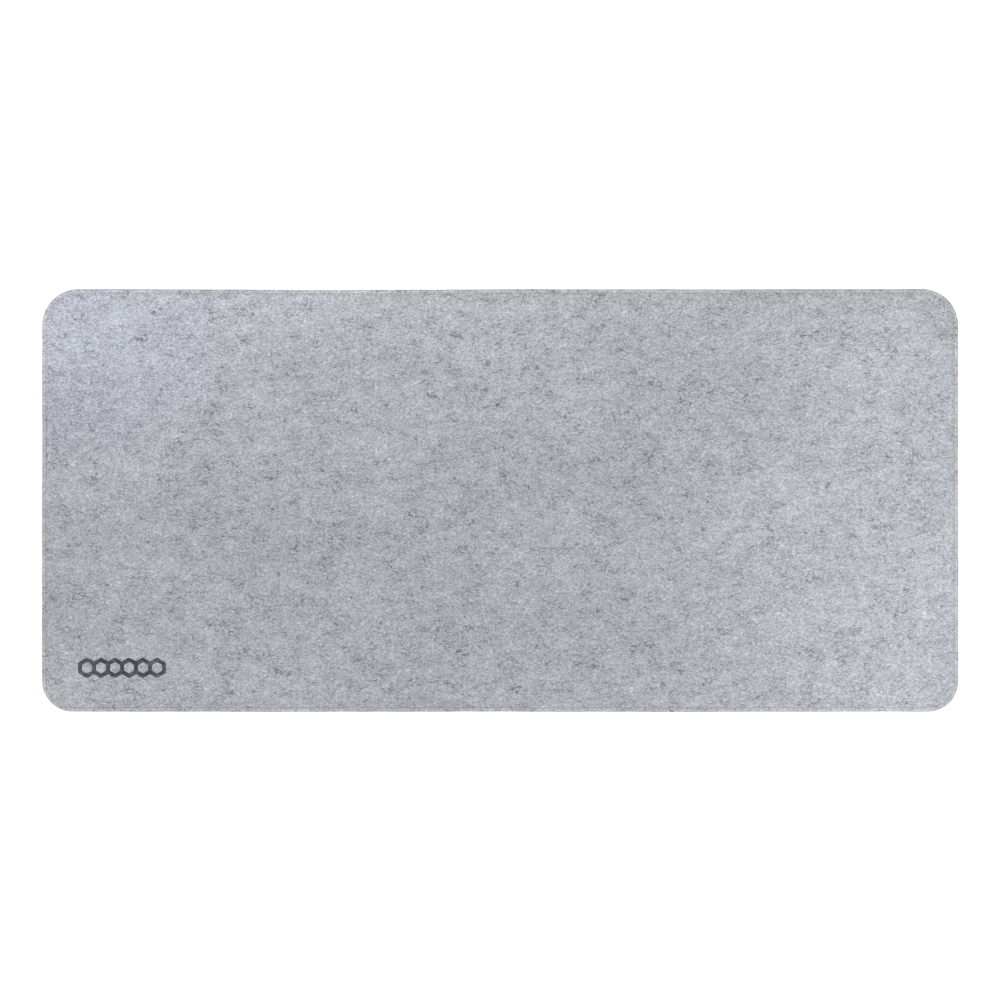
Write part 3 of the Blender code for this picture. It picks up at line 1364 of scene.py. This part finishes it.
@dataclass
class SurfaceFibres(Fibres):
    """Loose fibres that lie in the felt's nap, most of them roughly along x."""

    felt: FeltTop
    count: int = 5200
    segments: int = 5
    keep_in: float = 7 * MM
    shortest: float = 3 * MM
    sunk: float = 0.02 * MM
    print_margin: float = 1 * MM
    print_depth: float = 0.3 * MM

    def build(self, finish: bpy.types.Material) -> None:
        """Makes the fibres: each has a start, a heading that turns, and a low arch.

        Under the print they lie deeper, where the ink hides them.
        """
        random = np.random.default_rng(SEED + 7)
        count = self.count
        half = np.array([self.outline.width, self.outline.depth]) / 2 - self.keep_in
        start = random.uniform(-1, 1, (count, 2)) * half
        length = random.gamma(4.0, 2.6 * MM, count) + self.shortest
        heading = random.normal(0, 0.9, count) + np.pi * random.integers(0, 2, count)
        curl = random.normal(0, 1.1, count)
        share = np.linspace(-0.5, 0.5, self.segments + 1)
        turn = heading[:, None] + curl[:, None] * share + 0.5 * np.sin(5 * share + heading[:, None])
        step = (length / self.segments)[:, None]
        offset = np.cumsum(join(np.cos(turn), np.sin(turn)) * step[..., None], axis=1)
        flat = start[:, None] + offset - offset.mean(axis=1, keepdims=True)
        flat = np.clip(flat, -half, half)

        radius = random.uniform(0.055, 0.105, count)[:, None] * MM
        taper = 1 - 0.75 * (2 * np.abs(share)) ** 3
        arch = random.uniform(-0.4, 0.9, count)[:, None] * radius * (1 - (2 * share) ** 4)
        height = self.felt.swayed(flat[..., 0], flat[..., 1]) + arch - self.sunk
        low, high = (np.array(corner)[:2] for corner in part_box(Part.DEVICE.value))
        beside = (flat < low - self.print_margin) | (flat > high + self.print_margin)
        height = height - self.print_depth * ~beside.any(axis=-1)
        tone = self.tones(random, count, 0.62, (0.43, 0.08), (0.80, 0.05))
        self.write("nap_fibres", flat, height, radius * taper, tone, finish)


@dataclass
class EdgeFibres(Fibres):
    """Short fibres that stick out of the felt's cut edge."""

    layers: Layers
    count: int = 3600
    segments: int = 3
    longest: float = 1.3 * MM
    shortest: float = 0.25 * MM
    root: float = 0.35 * MM

    def build(self, finish: bpy.types.Material) -> None:
        """Makes the fibres, which leave the edge at a slant, from a root inside it, and droop."""
        random = np.random.default_rng(SEED + 11)
        count = self.count
        place = np.sort(random.uniform(0, self.outline.length, count))
        share = np.linspace(0, 1, self.segments + 1)
        reach = self.longest * random.beta(1.3, 4.0, count) + self.shortest
        slide = random.normal(0, 0.8, count) * reach
        inset = self.root - (reach + self.root)[:, None] * share
        points, normal = self.outline.along(place)
        ahead = join(-normal[:, 1], normal[:, 0])
        out = self.outline.seam_inset - inset + self.outline.slack(place)[:, None]
        flat = points[:, None] + out[..., None] * normal[:, None]
        flat = flat + (slide[:, None] * share**1.5)[..., None] * ahead[:, None]
        thickness = self.layers.felt_top - self.layers.felt_low
        rise = random.uniform(0.15, 0.72, count) * thickness
        swing = random.normal(0.0, 0.35, count) * reach
        height = self.layers.felt_low + rise[:, None] + swing[:, None] * share**2
        radius = random.uniform(0.025, 0.045, count)[:, None] * MM
        taper = 1 - 0.6 * share
        tone = self.tones(random, count, 0.3, (0.50, 0.06), (0.67, 0.05))
        self.write("edge_fibres", flat, height, radius * taper, tone, finish)


# ---------------------------------------------------------------------------------------------
# Studio


@dataclass(frozen=True)
class Softbox:
    """A soft rectangular light.

    It shines at its target, or straight down where it has none; then its first size is along x.
    """

    name: str
    place: Triple
    size: Pair
    power: float
    target: Union[Triple, None] = None
    colour: Triple = EVEN

    def build(self) -> None:
        """Makes the light, unseen by the camera itself."""
        data = bpy.data.lights.new(self.name, "AREA")
        data.shape = "RECTANGLE"
        data.size, data.size_y = self.size
        data.energy = self.power
        data.color = self.colour
        light = bpy.data.objects.new(self.name, data)
        light.location = self.place
        aim = Vector(self.target or (*self.place[:2], 0.0)) - Vector(self.place)
        light.rotation_euler = aim.to_track_quat("-Z", "Y").to_euler()
        light.visible_camera = False
        bpy.context.scene.collection.objects.link(light)


@dataclass(frozen=True)
class Studio:
    """A white floor and sky, soft light from all round, and a camera that looks straight down.

    The strips and small boxes hang low over the mat's right and rear edges, which are lit a
    little more than the rest; the two large ones light its front edge from the side.
    """

    floor_half: float = 60.0
    floor_drop: float = 0.05 * MM
    ambient: float = 0.52
    overhead: float = 0.98
    overhead_spread: float = math.radians(25)
    lens: float = 85.0
    sensor: float = 36.0
    view_width: float = 0.9822
    view_middle: Pair = (-0.0001, 0.00053)
    softboxes: tuple[Softbox, ...] = (
        Softbox("right_strip", (0.395, 0.0, 0.20), (0.08, 0.55), 0.25),
        Softbox("right_rear_box", (0.42, 0.20, 0.20), (0.15, 0.10), 0.03),
        Softbox("right_front_box", (0.39, -0.20, 0.20), (0.20, 0.10), 0.045),
        Softbox("rear_strip", (-0.15, 0.22, 0.16), (0.62, 0.06), 0.19),
        Softbox("rear_left_box", (-0.44, 0.18, 0.15), (0.20, 0.10), 0.075, None, (0.68, 0.66, 1.0)),
        Softbox("front_right_box", (0.45, -0.95, 0.55), (0.8, 0.8), 1.7, (0.30, -0.15, 0.0)),
        Softbox("front_left_box", (-0.55, -0.90, 0.55), (0.8, 0.8), 3.6, (-0.40, -0.15, 0.0)),
    )

    def build(self, top: float) -> None:
        """Makes the studio.

        Args:
            top: the height of the mat's top, which the camera's distance is measured from.
        """
        self.build_floor()
        self.build_sky()
        for softbox in self.softboxes:
            softbox.build()
        self.build_overhead()
        self.build_camera(top)

    def build_floor(self) -> None:
        """Makes the floor, a hair below the mat."""
        half = self.floor_half
        mesh = bpy.data.meshes.new("floor")
        corners = [(-half, -half, 0), (half, -half, 0), (half, half, 0), (-half, half, 0)]
        mesh.from_pydata(corners, [], [(0, 1, 2, 3)])
        mesh.materials.append(StudioPaper().make())
        floor = bpy.data.objects.new("floor", mesh)
        floor.location.z = -self.floor_drop
        bpy.context.scene.collection.objects.link(floor)

    def build_sky(self) -> None:
        """Makes the sky: it lights the mat dimly, and the camera sees it as white as the floor."""
        world = bpy.data.worlds.new("studio")
        world.use_nodes = True
        nodes = world.node_tree.nodes
        sky = nodes["Background"]
        sky.inputs["Color"].default_value = (*EVEN, 1.0)
        seen = nodes.new("ShaderNodeLightPath").outputs["Is Camera Ray"]
        strength = nodes.new("ShaderNodeMath")
        strength.operation = "MAXIMUM"
        strength.inputs[1].default_value = self.ambient
        world.node_tree.links.new(seen, strength.inputs[0])
        world.node_tree.links.new(strength.outputs[0], sky.inputs["Strength"])
        bpy.context.scene.world = world

    def build_overhead(self) -> None:
        """Makes the broad light that shines straight down on everything."""
        sun = bpy.data.lights.new("overhead", "SUN")
        sun.energy = self.overhead
        sun.angle = self.overhead_spread
        bpy.context.scene.collection.objects.link(bpy.data.objects.new("overhead", sun))

    def build_camera(self, top: float) -> None:
        """Makes the camera, so high that its view is view_width wide at the mat's top."""
        camera = bpy.data.cameras.new("camera")
        camera.lens = self.lens
        camera.sensor_width = self.sensor
        camera.clip_start = 0.05
        holder = bpy.data.objects.new("camera", camera)
        distance = self.view_width * self.lens / self.sensor
        holder.location = (*self.view_middle, top + distance)
        bpy.context.scene.collection.objects.link(holder)
        bpy.context.scene.camera = holder
        bpy.context.scene.view_settings.view_transform = "Standard"


def main() -> None:
    """Builds the mat from the desk up, then the studio."""
    logging.basicConfig(level=logging.INFO, format="%(name)s: %(message)s")
    outline = Outline.from_frame()
    layers = Layers.from_frame()
    LOG.info("seam %.3f m long, %d stitches", outline.length, outline.stitches)
    felt_finish = HeatheredFelt().make()
    fibre_finish = LooseFibre().make()
    thread_finish = TwistedThread().make()

    base = GripBase(outline=outline, layers=layers).build(GripRubber().make())
    film = BondFilm(outline=outline, layers=layers).build(BondingFilm().make())
    felt = FeltTop(outline=outline, layers=layers)
    felt_sheet = felt.build(felt_finish)

    bobbin_low, bobbin_size = low_and_size(Part.BOBBIN)
    SeamThread(
        outline=outline,
        name="lower_thread",
        part=Part.BOBBIN,
        facing=Facing.DOWN,
        crest=bobbin_low + bobbin_size / 2,
        diameter=bobbin_size,
        dive=0.5 * MM,
        lean=0.06 * MM,
    ).build(thread_finish)
    _, needle_size = low_and_size(Part.NEEDLE)
    SeamThread(
        outline=outline,
        name="upper_thread",
        part=Part.NEEDLE,
        facing=Facing.UP,
        crest=layers.felt_top - felt.press_depth + 0.30 * needle_size,
        diameter=needle_size,
        dive=1.0 * MM,
    ).build(thread_finish)

    PrintedDevice().build(layers.felt_top, TransferInk().make())
    SurfaceFibres(outline=outline, felt=felt).build(fibre_finish)
    EdgeFibres(outline=outline, layers=layers).build(fibre_finish)

    Studio().build(layers.felt_top)


if __name__ == "__main__":
    main()
